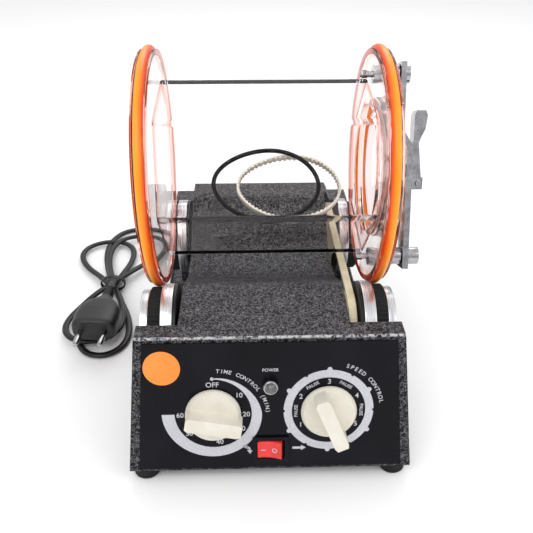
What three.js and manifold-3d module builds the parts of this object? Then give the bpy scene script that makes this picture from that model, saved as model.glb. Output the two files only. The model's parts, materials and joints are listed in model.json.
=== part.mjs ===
// Rotary rock tumbler: a clear six-sided drum that turns on two pairs of powered wheels.
// Millimetres. +X is to the right seen from the control panel, +Y goes back and +Z is up.
// The feet stand on Z 0.
import * as THREE from "three";
import Module from "manifold-3d";
import { ConvexGeometry } from "three/addons/geometries/ConvexGeometry.js";
import { mergeVertices } from "three/addons/utils/BufferGeometryUtils.js";

const wasm = await Module();
wasm.setup();

// ---------- driving dimensions ----------
const GAP = 0.3; // between two pieces that touch
const SHEET = 1.5; // folded steel of the housing and of the base plate
const FOOT_HEIGHT = 9;

const DRUM_Z = 156.9; // the drum's axis is the line Y 0 at this height
const RING_RADIUS = 78; // outside of the two rubber rings the drum rolls on
const RING_SECTION = 3.1;
const RING_X = 72.2;
const PLATE = { inner: 67.5, outer: 77, radius: 75.5, groove: 71.5 };
const TUBE = { corner: 58, wall: 5, rounding: 6, end: PLATE.inner - GAP };
const LID_OPENING = 40;

const AXLE_Y = 64.7; // the front roller is at -AXLE_Y and the rear one at +AXLE_Y
const AXLE_Z = 73.1;
const TYRE_RADIUS = 27.5;
const BORE = 4.3;
const SHAFT_RADIUS = BORE - GAP;
const LINK_PULLEY_RADIUS = 23.2;
const DRIVE_X = -39; // the plane of the motor's belt
const MOTOR = { y: 0, z: 42, radius: 22, pulley: 7 };
const DRIVE_PULLEY_RADIUS = 22;

const FRONT_FOOT = { y: -129.7, z: FOOT_HEIGHT, half: 89 }; // lower edge of the sloping front
const FRONT_TOP = { y: -109.3, z: 97.7, half: 80 }; // its upper edge, where the deck starts
const BOX_BACK_Y = -96; // rear wall of the front box
const BLOCK = { left: -55, right: 49 }; // side walls of the block between the wheels
const FLOOR_Z = FOOT_HEIGHT + SHEET + GAP; // lowest edge of the housing above the base plate
const REAR = { front: 96, back: 118, half: 73, top: 90 };
const FRONT_SLOPE = Math.atan2(FRONT_TOP.z - FRONT_FOOT.z, FRONT_TOP.y - FRONT_FOOT.y);
const FACE = 1.3; // outer surface of the control panel, measured out from the housing

// s is measured up the slope, and pointer in degrees clockwise from the top
const TIMER = { x: -34.9, s: 41, pointer: 100 };
const SPEED = { x: 35.5, s: 42, pointer: 157 };
const LAMP = { x: 0, s: 60.5 };
const ROCKER = { x: 0, s: 15.8, tilt: 10 };
const GLAND = { x: -60, z: 30 };

const POST_ANGLE = THREE.MathUtils.degToRad(70); // direction of the clamp bar, from +Y towards +Z
const POST_OFFSET = 60; // from the drum's axis to each clamp post
const BAR = { inner: 94, outer: 98, half: 8, hookInner: 88.2, hookOuter: 91.7 };
const LEVER_PIVOT = { x: 102.1, s: -10 };
const PAD_TOP = 88;

// ---------- materials ----------
const paint = (color, metalness, roughness, more = {}) =>
  new THREE.MeshStandardMaterial({ color, metalness, roughness, ...more });
const clear = { transparent: true, opacity: 0.25 };
const M = {
  hammertone: paint("#3B3A3D", 0.3, 0.5),
  panelFilm: paint("#15151C", 0, 0.15),
  zinc: paint("#B9BBBE", 0.9, 0.4),
  aluminium: paint("#C9CACC", 1, 0.3),
  steel: paint("#A9ABAE", 1, 0.35),
  chrome: paint("#D9DADC", 1, 0.08),
  rubber: paint("#202022", 0, 0.8),
  beltRubber: paint("#1B1B1D", 0, 0.7),
  orangeRubber: paint("#FF9A30", 0, 0.4),
  cream: paint("#E8E4D6", 0, 0.5),
  linkBelt: paint("#D9CDB0", 0, 0.7),
  whiteBelt: paint("#F2EFE0", 0, 0.6),
  red: paint("#E0322F", 0, 0.3),
  amber: paint("#B23A2A", 0, 0.2),
  blackPlastic: paint("#1D1D1F", 0, 0.5),
  board: paint("#2E6B3E", 0, 0.5),
  acrylic: paint("#F4F1F2", 0, 0.05, clear),
  cordPvc: paint("#222224", 0, 0.5),
};

// ---------- solids ----------
// Every shape below is a closed solid, so that it can be joined to and cut from others.
function solid(geometry) {
  const bare = geometry.clone();
  bare.deleteAttribute("normal");
  bare.deleteAttribute("uv");
  const merged = mergeVertices(bare, 1e-3);
  const build = (triVerts) =>
    new wasm.Manifold(
      new wasm.Mesh({
        numProp: 3,
        vertProperties: new Float32Array(merged.attributes.position.array),
        triVerts,
      }),
    );
  const made = build(new Uint32Array(merged.index.array));
  if (made.volume() > 0) return made;
  const turned = new Uint32Array(merged.index.array);
  for (let i = 0; i < turned.length; i += 3)
    [turned[i + 1], turned[i + 2]] = [turned[i + 2], turned[i + 1]];
  return build(turned);
}

const join = (...solids) => solids.reduce((all, next) => all.add(next));
const cut = (body, ...tools) => tools.reduce((rest, tool) => rest.subtract(tool), body);

function block(x0, x1, y0, y1, z0, z1) {
  const g = new THREE.BoxGeometry(x1 - x0, y1 - y0, z1 - z0);
  return solid(g.translate((x0 + x1) / 2, (y0 + y1) / 2, (z0 + z1) / 2));
}

const points3 = (list) => list.map(([x, y, z]) => new THREE.Vector3(x, y, z));
const convex = (list) => solid(new ConvexGeometry(points3(list)));

// A shape given as [radius, place along the axis] pairs, turned about the axis "x", "y" or "z".
// A profile that starts and ends away from the axis is closed on itself.
function turned(profile, axis, centre = [0, 0, 0], segments = 28) {
  const onAxis = profile[0][0] === 0;
  const loop = onAxis ? profile : [...profile, profile[0]];
  const g = new THREE.LatheGeometry(loop.map(([r, a]) => new THREE.Vector2(r, a)), segments);
  if (axis === "x") g.rotateZ(-Math.PI / 2);
  if (axis === "z") g.rotateX(Math.PI / 2);
  return solid(g.translate(...centre));
}

const rod = (radius, from, to, axis, centre, segments) =>
  turned([[0, from], [radius, from], [radius, to], [0, to]], axis, centre, segments);

const collar = (inner, outer, from, to, axis, centre, segments) =>
  turned([[inner, from], [outer, from], [outer, to], [inner, to]], axis, centre, segments);

const outline = (list) => new THREE.Shape(list.map(([a, b]) => new THREE.Vector2(a, b)));

// A flat outline in X and Y, raised from z0 to z1.
function raised(list, z0, z1) {
  const g = new THREE.ExtrudeGeometry(outline(list), { depth: z1 - z0, bevelEnabled: false });
  return solid(g.translate(0, 0, z0));
}

// A flat outline in Y and Z, drawn out along X from x0 to x1.
function drawn(list, x0, x1) {
  const g = new THREE.ExtrudeGeometry(outline(list), { depth: x1 - x0, bevelEnabled: false });
  const basis = new THREE.Matrix4().makeBasis(
    new THREE.Vector3(0, 1, 0),
    new THREE.Vector3(0, 0, 1),
    new THREE.Vector3(1, 0, 0),
  );
  return solid(g.applyMatrix4(basis).translate(x0, 0, 0));
}

// A round bar of one radius along a smooth curve through the given points.
function wire(list, radius, steps, sides = 8) {
  const section = outline(circlePoints(0, 0, radius, sides));
  const path = new THREE.CatmullRomCurve3(points3(list), false, "centripetal");
  return solid(new THREE.ExtrudeGeometry(section, { steps, extrudePath: path, bevelEnabled: false }));
}

function arcPoints(cx, cy, radius, from, to, steps) {
  return Array.from({ length: steps + 1 }, (_, i) => {
    const a = from + ((to - from) * i) / steps;
    return [cx + radius * Math.cos(a), cy + radius * Math.sin(a)];
  });
}

const circlePoints = (cx, cy, radius, count) =>
  arcPoints(cx, cy, radius, 0, 2 * Math.PI, count).slice(0, -1);

// The outline of a belt stretched round two circles: straight runs tangent to both, arcs between.
function beltOutline([ay, az, ar], [by, bz, br], steps = 14) {
  const heading = Math.atan2(bz - az, by - ay);
  const lean = Math.acos((ar - br) / Math.hypot(by - ay, bz - az));
  return [
    ...arcPoints(ay, az, ar, heading + lean, heading + 2 * Math.PI - lean, steps),
    ...arcPoints(by, bz, br, heading - lean, heading + lean, steps),
  ];
}

const belt = (a, b, thickness, x0, x1) =>
  cut(
    drawn(beltOutline([a[0], a[1], a[2] + thickness], [b[0], b[1], b[2] + thickness]), x0, x1),
    drawn(beltOutline(a, b), x0 - 1, x1 + 1),
  );

function mesh(name, material, body) {
  const { vertProperties, triVerts } = body.getMesh();
  const g = new THREE.BufferGeometry();
  g.setAttribute("position", new THREE.BufferAttribute(new Float32Array(vertProperties), 3));
  g.setIndex(new THREE.BufferAttribute(new Uint32Array(triVerts), 1));
  g.computeVertexNormals();
  const m = new THREE.Mesh(g, material);
  m.name = name;
  return m;
}

function group(name, ...children) {
  const g = new THREE.Group();
  g.name = name;
  g.add(...children);
  return g;
}

// ---------- housing ----------
// The sloping front carries its own frame: X, s up the slope from the lower edge, z outwards.
function onFront(...children) {
  const g = group("front_face", ...children);
  g.position.set(0, FRONT_FOOT.y, FRONT_FOOT.z);
  g.rotation.x = FRONT_SLOPE;
  return g;
}

function intoFront(body) {
  const slope = THREE.MathUtils.radToDeg(FRONT_SLOPE);
  return body.rotate([slope, 0, 0]).translate([0, FRONT_FOOT.y, FRONT_FOOT.z]);
}

// The deck's line from the front box back over the valley and the hump, in Y and Z.
const DECK_LINE = [
  [-56, 97.7], [-48, 96.8], [-40, 94], [-28, 88], [-20, 85.2], [-12, 84],
  [12, 84], [20, 85.4], [30, 89.5], [58, 105], [64, 107.6], [70, 108.6], [90, 108.6],
  [96, 104], [100, 96], [103.5, 91.5], [106, REAR.top],
];

// The space the housing encloses, with every wall moved in by the sheet's thickness where `inset` is set.
function housingForm(inset, bottom) {
  const halfAt = (z) => FRONT_FOOT.half + ((FRONT_TOP.half - FRONT_FOOT.half) * (z - FRONT_FOOT.z)) /
    (FRONT_TOP.z - FRONT_FOOT.z) - inset;
  const frontAt = (z) => FRONT_FOOT.y + (z - FRONT_FOOT.z) / Math.tan(FRONT_SLOPE) + 1.03 * inset;
  const ring = (z) => [
    [-halfAt(z), frontAt(z), z], [halfAt(z), frontAt(z), z],
    [halfAt(z), BOX_BACK_Y - inset, z], [-halfAt(z), BOX_BACK_Y - inset, z],
  ];
  const frontBox = convex([...ring(bottom), ...ring(FRONT_TOP.z - inset)]);
  const back = REAR.back - inset;
  const line = DECK_LINE.map(([y, z]) => [y, z - 1.1 * inset]);
  const centre = drawn(
    [
      [-100, bottom], [-100, FRONT_TOP.z - inset], ...line,
      [back, REAR.top - 1.1 * inset], [back, bottom],
    ].reverse(),
    BLOCK.left + inset, BLOCK.right - inset,
  );
  const shoulder = 101.9 + inset;
  const crown = 108.6 - 1.1 * inset;
  const humpRing = (half, y0, y1, z) => [[-half, y0, z], [half, y0, z], [half, y1, z], [-half, y1, z]];
  const hump = convex([
    ...humpRing(54.5 - inset, 66 + inset, 96 - inset, shoulder),
    ...humpRing(51.5 - inset, 70 + inset, 90 - inset, crown),
  ]);
  const rear = block(
    -REAR.half + inset, REAR.half - inset, REAR.front + inset, back, bottom, REAR.top - 1.1 * inset,
  );
  return join(frontBox, centre, hump, rear);
}

function housingShell() {
  const walls = cut(housingForm(0, FOOT_HEIGHT), housingForm(SHEET, 0));
  const openings = intoFront(
    join(
      rod(5, -9, 3, "z", [TIMER.x, TIMER.s, 0]),
      rod(5, -9, 3, "z", [SPEED.x, SPEED.s, 0]),
      rod(3.6, -9, 3, "z", [LAMP.x, LAMP.s, 0]),
      block(-9.6, 9.6, ROCKER.s - 7.4, ROCKER.s + 7.4, -9, 3),
    ),
  );
  return cut(
    walls,
    block(-100, 100, -98, 130, 0, FLOOR_Z),
    rod(BORE + GAP, -60, 60, "x", [0, -AXLE_Y, AXLE_Z]),
    rod(BORE + GAP, -60, 60, "x", [0, AXLE_Y, AXLE_Z]),
    rod(6.3, 110, 125, "y", [GLAND.x, 0, GLAND.z]),
    openings,
  );
}

// A flat pan: it closes the front box from inside and spreads to a low tray under the wheels.
function basePlate() {
  const front = 86.6;
  const tray = 84;
  const plate = raised(
    [[-front, -127.2], [front, -127.2], [front, -98.4], [tray, -98.4], [tray, 118],
      [-tray, 118], [-tray, -98.4], [-front, -98.4]],
    FOOT_HEIGHT, FOOT_HEIGHT + SHEET,
  );
  const lip = (x) =>
    block(x - SHEET / 2, x + SHEET / 2, -95.5, 118, FOOT_HEIGHT + SHEET / 2, FOOT_HEIGHT + 4);
  return join(plate, lip(-tray + SHEET / 2), lip(tray - SHEET / 2));
}

const foot = (name, x, y) =>
  mesh(name, M.rubber, turned(
    [[0, 0], [7.6, 0], [8.5, 1], [8.5, 7.6], [7.4, FOOT_HEIGHT - GAP], [0, FOOT_HEIGHT - GAP]],
    "z", [x, y, 0], 28,
  ));

// ---------- drive ----------
const motorBody = turned(
  [[0, -33.5], [8, -33.5], [8, -31], [MOTOR.radius, -31], [MOTOR.radius, 12], [MOTOR.radius - 3, 15],
    [8, 15], [8, 17], [0, 17]],
  "x", [0, MOTOR.y, MOTOR.z], 32,
);
const motorBracket = join(
  cut(
    block(-33.4, -31.4, -20, 20, FLOOR_Z, 66),
    rod(8.4, -40, -30, "x", [0, MOTOR.y, MOTOR.z]),
  ),
  block(-33.4, 12, -20, 20, FLOOR_Z, FLOOR_Z + 2),
);
const pulleyGroove = (rim, groove, from, to, bore) =>
  turned(
    [[bore, from], [rim, from], [rim, from + 1.2], [groove, from + 2.6],
      [groove, to - 2.6], [rim, to - 1.2],
      [rim, to], [bore, to]],
    "x",
  );
const motorPulley = join(
  pulleyGroove(MOTOR.pulley + 2, MOTOR.pulley, DRIVE_X - 4, DRIVE_X + 4, 2),
  rod(3, DRIVE_X - 4, -33.8, "x"),
).translate([0, MOTOR.y, MOTOR.z]);
const driveBelt = belt(
  [MOTOR.y, MOTOR.z, MOTOR.pulley + GAP], [AXLE_Y, AXLE_Z, DRIVE_PULLEY_RADIUS + GAP],
  2, DRIVE_X - 1.1, DRIVE_X + 1.1,
);
const linkBelt = belt(
  [-AXLE_Y, AXLE_Z, LINK_PULLEY_RADIUS + GAP], [AXLE_Y, AXLE_Z, LINK_PULLEY_RADIUS + GAP],
  1.9, 50.6, 55.4,
);

const bearing = (name, x, y) =>
  mesh(name, M.steel, turned(
    [[BORE, x - 4], [8, x - 4], [8, x - 1], [12.5, x - 1],
      [12.5, x + 1], [8, x + 1], [8, x + 4], [BORE, x + 4]],
    "x", [0, y, AXLE_Z], 16,
  ));

// ---------- rollers ----------
// One end of a roller: aluminium wheel with a tall flange, its ribbed tyre and the black guard disc.
function rollerEnd(side, label) {
  const at = (profile) => turned(profile.map(([r, a]) => [r, side * a]), "x");
  const wheel = at([
    [BORE, 59.8], [29.2, 59.8], [29.6, 60.2], [29.6, 66.9], [29.2, 67.3], [22, 67.3], [22, 75.3],
    [25.4, 75.3],
    [26, 75.9], [26, 79], [24.4, 80.5], [12, 80.5], [11, 79.5], [BORE, 79.5],
  ]);
  const tyre = at([
    [22.3, 67.6], [27.1, 67.6], [TYRE_RADIUS, 68], [TYRE_RADIUS, 74.6], [27.1, 75], [22.3, 75],
  ]);
  const guard = at([[BORE, 56.8], [25, 56.8], [29.4, 57.4], [29.4, 59.5], [BORE, 59.5]]);
  return [
    mesh(label + "_wheel", M.aluminium, wheel),
    mesh(label + "_tyre", M.rubber, tyre),
    mesh(label + "_guard", M.blackPlastic, guard),
  ];
}

function roller(name, y, ...extra) {
  const g = group(
    name,
    mesh(name + "_shaft", M.steel, rod(SHAFT_RADIUS, -79, 79, "x", [0, 0, 0], 20)),
    ...rollerEnd(-1, name + "_left"),
    ...rollerEnd(1, name + "_right"),
    mesh(name + "_link_pulley", M.linkBelt, collar(BORE, LINK_PULLEY_RADIUS, 50, 56.2, "x")),
    ...extra,
  );
  g.position.set(0, y, AXLE_Z);
  return g;
}

// ---------- drum ----------
// A regular six-sided outline whose corners are rounded, first corner in the direction of the clamp bar.
function hexagon(corner, rounding) {
  const inset = rounding / Math.cos(Math.PI / 6);
  return Array.from({ length: 6 }, (_, i) => POST_ANGLE + (i * Math.PI) / 3).flatMap((a) =>
    arcPoints((corner - inset) * Math.cos(a), (corner - inset) * Math.sin(a), rounding, a - Math.PI / 6,
      a + Math.PI / 6, 4),
  );
}

const barrelTube = cut(
  drawn(hexagon(TUBE.corner, TUBE.rounding), -TUBE.end, TUBE.end),
  drawn(hexagon(TUBE.corner - TUBE.wall / Math.cos(Math.PI / 6), 1.5), -TUBE.end - 1, TUBE.end + 1),
);

const plateProfile = (side, inner) => [
  [inner, PLATE.inner], [PLATE.radius, PLATE.inner], [PLATE.radius, 68.8], [PLATE.groove, 68.8],
  [PLATE.groove, 75.6], [PLATE.radius, 75.6], [PLATE.radius, PLATE.outer], [inner, PLATE.outer],
].map(([r, a]) => [r, side * a]);

const postPlace = (sign) =>
  [Math.cos(POST_ANGLE), Math.sin(POST_ANGLE)].map((part) => sign * POST_OFFSET * part);
const SPIGOT = 2;
const DISC_SIDES = 48;

const leftEndPlate = turned(plateProfile(-1, 0), "x", [0, 0, 0], DISC_SIDES);
const rightEndPlate = cut(
  turned(plateProfile(1, LID_OPENING), "x", [0, 0, 0], DISC_SIDES),
  ...[1, -1].map((sign) => rod(SPIGOT + GAP, 68.5, 80, "x", [0, ...postPlace(sign)], 16)),
);

const ring = (x) =>
  turned(circlePoints(RING_RADIUS - RING_SECTION, x, RING_SECTION, 10), "x", [0, 0, 0], DISC_SIDES);

// A post: a spigot in the end plate, a stout body, a neck that holds the bar, and a head.
const post = (sign, neck, neckRadius, end) =>
  turned(
    [[0, 69], [SPIGOT, 69], [SPIGOT, 77.3], [6, 77.3], [6, neck[0]],
      [neckRadius, neck[0]], [neckRadius, neck[1]],
      [6, neck[1]], [6, end - 0.6], [5.4, end], [0, end]],
    "x", [0, ...postPlace(sign)], 20,
  );

const lid = join(
  turned(
    [[0, 74], [37, 74], [38, 75], [38, 79], [46, 79], [46, 81], [45.5, 81.5], [0, 81.5]],
    "x", [0, 0, 0], DISC_SIDES,
  ),
  turned([[0, 81], [5, 81], [5, PAD_TOP - 0.8], [4.2, PAD_TOP], [0, PAD_TOP]], "x", [0, 0, 0], 24),
);
const lidGasket = collar(40.6, 45, 77.3, 78.7, "x", [0, 0, 0], DISC_SIDES);

// The two spare belts lie in the drum, tilted back against its lower rear wall.
const BELT_TILT = THREE.MathUtils.degToRad(42.6);
function looseLoop(body, x, y, z) {
  return body.rotate([THREE.MathUtils.radToDeg(BELT_TILT), 0, 0]).translate([x, y, z]);
}
const ellipsePoints = (a, b, count) => circlePoints(0, 0, 1, count).map(([x, y]) => [a * x, b * y]);
const spareToothedBelt = looseLoop(
  cut(raised(ellipsePoints(37.5, 25, 48), -3, 3), raised(ellipsePoints(35.7, 23.2, 48), -4, 4)),
  18, 23.3, 133.1 - DRUM_Z,
);
const spareRoundBelt = looseLoop(
  cut(
    raised(ellipsePoints(38.7, 28.2, 48), -1.6, 1.6),
    raised(ellipsePoints(35.5, 25, 48), -2, 2),
  ), 1.5, 19.5, 137.2 - DRUM_Z,
);

// ---------- lid clamp ----------
// Its frame: x along the drum's axis, z along the bar from the lower post to the upper one, y across it.
function clampBar() {
  const side = [
    [BAR.inner, -POST_OFFSET - 8], [BAR.outer, -POST_OFFSET - 8], [BAR.outer, 14], [BAR.hookOuter, 24],
    [BAR.hookOuter, POST_OFFSET + 7], [BAR.hookInner, POST_OFFSET + 7], [BAR.hookInner, 23],
    [BAR.inner, 13],
  ];
  const strip = new THREE.ExtrudeGeometry(outline(side), { depth: 2 * BAR.half, bevelEnabled: false });
  strip.rotateX(Math.PI / 2).translate(0, BAR.half, 0);
  const ear = (y) =>
    block(BAR.outer - 1, LEVER_PIVOT.x + 3, y - 1, y + 1, LEVER_PIVOT.s - 4, LEVER_PIVOT.s + 4);
  return cut(
    join(solid(strip), ear(-7), ear(7)),
    rod(BORE, 90, 100, "x", [0, 0, -POST_OFFSET], 24),
    rod(3.3, 80, 100, "x", [0, 0, POST_OFFSET], 20),
    block(80, 100, 0, 20, POST_OFFSET - 3.6, POST_OFFSET + 3.3),
    block(90, 99, -4.3, 4.3, -14.5, 7.5),
    rod(2.2, -12, 12, "y", [LEVER_PIVOT.x, 0, LEVER_PIVOT.s], 16),
  );
}

// Drawn in X and s: the arms run along the bar and the grip flares outwards at the free end.
function clampLever() {
  const across = (list, y0, y1) => {
    const g = new THREE.ExtrudeGeometry(outline(list), { depth: y1 - y0, bevelEnabled: false });
    return solid(g.rotateX(Math.PI / 2).translate(0, y1, 0));
  };
  const { x, s } = LEVER_PIVOT;
  const arm = [
    [98.6, s], [98.6, 18], [102, 18], [x + 2.6, s + 2], [x + 2.4, s - 2.6], [x, s - 3.5],
    [99.6, s - 2.4],
  ];
  const grip = [
    [98.6, 15], [101.8, 15], [103.6, 20], [106.2, 25], [107.4, 34], [106, 37], [100.2, 37], [98.8, 34],
    [98.6, 24],
  ];
  const toe = [[89.3, -3.5], [89.3, -1], [91, 2.5], [98.8, 3], [102, -4], [102, -9.5], [99, -10]];
  return cut(
    join(across(arm, -5.6, -3.6), across(arm, 3.6, 5.6), across(grip, -5.6, 5.6), across(toe, -3.7, 3.7)),
    rod(2.3, -12, 12, "y", [x, 0, s], 16),
  );
}

const clampPin = rod(1.9, -9.4, 9.4, "y", [LEVER_PIVOT.x, 0, LEVER_PIVOT.s], 16);

// ---------- controls ----------
// A round base with a long tapered grip; it points up the slope before it is turned to its mark.
function knob(name, place, tip) {
  const grip = [
    [-4.4, -14], [-3.2, -16], [3.2, -16], [4.4, -14], [4.4, tip - 2.5], [3.4, tip],
    [-3.4, tip], [-4.4, tip - 2.5],
  ];
  const body = join(
    turned([[0, FACE + 0.6], [17, FACE + 0.6], [17, 4], [15.6, 6.6], [0, 6.6]], "z", [0, 0, 0], 40),
    raised(grip, 6, 19),
    rod(3, -10, 3, "z", [0, 0, 0], 20),
  );
  const m = mesh(name, M.cream, body);
  m.position.set(place.x, place.s, 0);
  m.rotation.z = -THREE.MathUtils.degToRad(place.pointer);
  return m;
}

// A switch body behind the panel, with the threaded bush that carries the knob's shaft.
const switchModule = (place, half, depth) =>
  cut(
    join(
      block(
        place.x - half, place.x + half, place.s - half, place.s + half,
        -SHEET - GAP - depth, -SHEET - GAP,
      ),
      rod(4.7, -4, FACE, "z", [place.x, place.s, 0], 24),
    ),
    rod(3.3, -12, 3, "z", [place.x, place.s, 0], 24),
  );

function controlPanel() {
  const sheet = raised([[-82.5, 2], [82.5, 2], [75.3, 88], [-75.3, 88]], GAP, FACE);
  return cut(
    sheet,
    rod(5, 0, 3, "z", [TIMER.x, TIMER.s, 0]),
    rod(5, 0, 3, "z", [SPEED.x, SPEED.s, 0]),
    rod(3.6, 0, 3, "z", [LAMP.x, LAMP.s, 0]),
    block(-9.6, 9.6, ROCKER.s - 7.4, ROCKER.s + 7.4, 0, 3),
  );
}

const rockerHousing = (() => {
  const boxAt = (w, h, z0, z1) => block(-w, w, ROCKER.s - h, ROCKER.s + h, z0, z1);
  return cut(
    join(boxAt(11.2, 8.7, FACE + GAP, FACE + 1.9), boxAt(9.3, 7.1, -16, FACE + 1)),
    boxAt(8.5, 6.3, -4.5, 5),
  );
})();

function rockerButton() {
  const profile = [[-7.6, -1.5], [7.6, -1.5], [7.6, 5], [4, 3.9], [0, 3.5], [-4, 3.9], [-7.6, 5]];
  const g = new THREE.ExtrudeGeometry(outline(profile), { depth: 11.6, bevelEnabled: false });
  g.rotateX(Math.PI / 2).translate(0, 5.8, 0);
  const m = mesh("rocker_button", M.red, solid(g));
  m.position.set(ROCKER.x, ROCKER.s, 0);
  m.rotation.y = -THREE.MathUtils.degToRad(ROCKER.tilt);
  return m;
}

const powerLamp = turned(
  [[0, -14], [3.2, -14], [3.2, FACE + GAP], [4.6, FACE + GAP], [4.6, 6.4], [3.8, 7.8], [2, 8.7], [0, 9]],
  "z", [LAMP.x, LAMP.s, 0], 24,
);

const controlBoard = join(
  block(-70, -20, -122, -102, 14, 15.6),
  ...[[-67, -119], [-23, -119], [-67, -105], [-23, -105]].map(([x, y]) =>
    rod(1.6, FLOOR_Z, 15, "z", [x, y, 0], 10)),
  block(-62, -50, -118, -108, 15, 24),
  block(-44, -30, -116, -106, 15, 22),
);

// ---------- mains lead ----------
const LEAD_RADIUS = 2.9;
const PLUG = { x: -134, y: 54, z: 20, turn: 3 }; // its neck; it faces forwards, turned in degrees
const LEAD_START = REAR.back + 13;
const leadPath = [
  [GLAND.x, LEAD_START, GLAND.z], [GLAND.x - 1, 146, 24], [-67, 164, 9], [-80, 184, 3.3],
  [-100, 205, 3.3],
  [-124, 219, 3.3], [-144, 217, 3.3], [-155, 204, 3.3],
];

const cordGland = turned(
  [[3.2, -6], [6, -6], [6, 0.3], [9.5, 0.3], [9.5, 4], [6, 5], [5, 12.6], [3.2, 12.6]],
  "y", [GLAND.x, REAR.back, GLAND.z], 20,
);

const oval = (cx, cy, a, b) => ellipsePoints(a, b, 28).map(([x, y]) => [cx + x, cy + y]);
const hank = (cx, cy, a, b, width) =>
  cut(raised(oval(cx, cy, a, b), GAP, 7), raised(oval(cx, cy, a - width, b - width), 0, 8));
const cordBundle = join(
  hank(-141, 149, 29, 51, 11),
  hank(-144, 47, 25, 53, 11),
  block(-149, -127, 90, 108, GAP, 9),
  wire([[-137, 100, 6], [-135, 88, 11], [-133.6, 79, 18], [-133.2, 71.3, PLUG.z]], LEAD_RADIUS, 8),
);

const plug = (() => {
  const body = [[-4, 0], [4, 0], [13, 12], [18.5, 22], [18.5, 47], [-18.5, 47], [-18.5, 22], [-13, 12]];
  const flat = join(
    raised(body, -11, 11),
    turned([[0, -16], [3.4, -16], [5, 2], [0, 2]], "y", [0, 0, 0], 20),
    ...[-9.5, 9.5].map((x) => rod(2.4, 46, 66, "y", [x, 0, 0], 16)),
  );
  return flat.rotate([0, 0, 180 - PLUG.turn]).translate([PLUG.x, PLUG.y, PLUG.z]);
})();

// ---------- the machine ----------
const inDrum = group(
  "drum",
  mesh("barrel_tube", M.acrylic, barrelTube),
  mesh("left_end_plate", M.acrylic, leftEndPlate),
  mesh("right_end_plate", M.acrylic, rightEndPlate),
  mesh("left_ring", M.orangeRubber, ring(-RING_X)),
  mesh("right_ring", M.orangeRubber, ring(RING_X)),
  mesh("upper_post", M.chrome, post(1, [87.9, 92], 3, 95)),
  mesh("lower_post", M.chrome, post(-1, [93.7, 98.3], SHAFT_RADIUS, 106)),
  mesh("spare_round_belt", M.beltRubber, spareRoundBelt),
  mesh("spare_toothed_belt", M.whiteBelt, spareToothedBelt),
  group("drum_lid", mesh("lid", M.acrylic, lid), mesh("lid_gasket", M.orangeRubber, lidGasket)),
);
const lidClamp = group(
  "lid_clamp",
  mesh("clamp_bar", M.chrome, clampBar()),
  mesh("clamp_pin", M.steel, clampPin),
  mesh("clamp_lever", M.chrome, clampLever()),
);
lidClamp.rotation.x = POST_ANGLE - Math.PI / 2;
inDrum.add(lidClamp);
inDrum.position.z = DRUM_Z;

const machine = group(
  "machine",
  mesh("housing_shell", M.hammertone, housingShell()),
  mesh("base_plate", M.hammertone, basePlate()),
  foot("foot_front_left", -79.5, -120.5),
  foot("foot_front_right", 79.5, -120.5),
  foot("foot_rear_left", -70, 106),
  foot("foot_rear_right", 70, 106),
  mesh("motor_body", M.steel, motorBody),
  mesh("motor_bracket", M.zinc, motorBracket),
  mesh("motor_pulley", M.blackPlastic, motorPulley),
  mesh("drive_belt", M.beltRubber, driveBelt),
  mesh("link_belt", M.linkBelt, linkBelt),
  bearing("bearing_front_left", -49, -AXLE_Y),
  bearing("bearing_front_right", 43, -AXLE_Y),
  bearing("bearing_rear_left", -49, AXLE_Y),
  bearing("bearing_rear_right", 43, AXLE_Y),
  mesh("control_board", M.board, controlBoard),
  mesh("cord_gland", M.blackPlastic, cordGland),
  roller("front_roller", -AXLE_Y),
  roller("rear_roller", AXLE_Y, mesh("rear_roller_drive_pulley", M.blackPlastic,
    pulleyGroove(DRIVE_PULLEY_RADIUS + 2, DRIVE_PULLEY_RADIUS, DRIVE_X - 4, DRIVE_X + 4, BORE))),
  inDrum,
  onFront(
    mesh("control_panel", M.panelFilm, controlPanel()),
    mesh("timer_module", M.blackPlastic, switchModule(TIMER, 18, 14)),
    mesh("speed_switch", M.blackPlastic, switchModule(SPEED, 12, 14)),
    mesh("rocker_housing", M.blackPlastic, rockerHousing),
    rockerButton(),
    mesh("power_lamp", M.amber, powerLamp),
    knob("timer_knob", TIMER, 17.5),
    knob("speed_knob", SPEED, 19),
  ),
);

// The part's origin is under the middle of the machine, on the surface it stands on.
const reach = new THREE.Box3().setFromObject(machine);
const middle = reach.getCenter(new THREE.Vector3());
const part = group(
  "rotary_rock_tumbler",
  machine,
  mesh("cord_lead", M.cordPvc, wire(leadPath, LEAD_RADIUS, 44)),
  mesh("cord_bundle", M.cordPvc, cordBundle),
  mesh("plug", M.blackPlastic, plug),
);
part.children.forEach((child) => child.position.set(-middle.x, -middle.y, 0));

export default part;
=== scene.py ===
"""Rotary rock tumbler: the looks of the machine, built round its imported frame.

Metres, +X to the right seen from the control panel, +Y to the back, +Z up. Sizes are written in
millimetres and turned to metres where a piece is made. Places come from the frame: the drum's axis from
its two rings, the sloping panel from the axes of the knobs and the rocker.
"""
import json
import math

import bmesh
import bpy
import numpy as np
from mathutils import Matrix, Vector


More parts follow.
